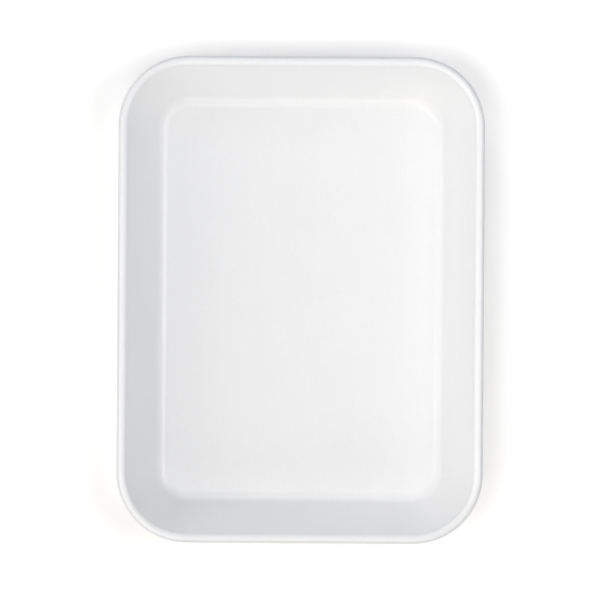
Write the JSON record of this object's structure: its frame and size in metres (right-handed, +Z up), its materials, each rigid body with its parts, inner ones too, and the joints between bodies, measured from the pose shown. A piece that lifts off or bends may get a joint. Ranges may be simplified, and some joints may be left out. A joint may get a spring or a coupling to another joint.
{
  "type": "foam tray",
  "caption": "Shallow rounded rectangular foam food tray with leaning walls, a flat floor and a rounded rim bead with a small lip.",
  "frame": {"origin": "middle of the flat underside, on the surface that the tray stands on", "axes": "+X across the tray's width, +Y along its length, +Z up out of its open side"},
  "size_m": [0.134, 0.178, 0.025],
  "materials": {
    "white_foam": "satin skin on fine closed-cell foam"
  },
  "bodies": {
    "root": {"tray": "white_foam"}
  },
  "joints": []
}
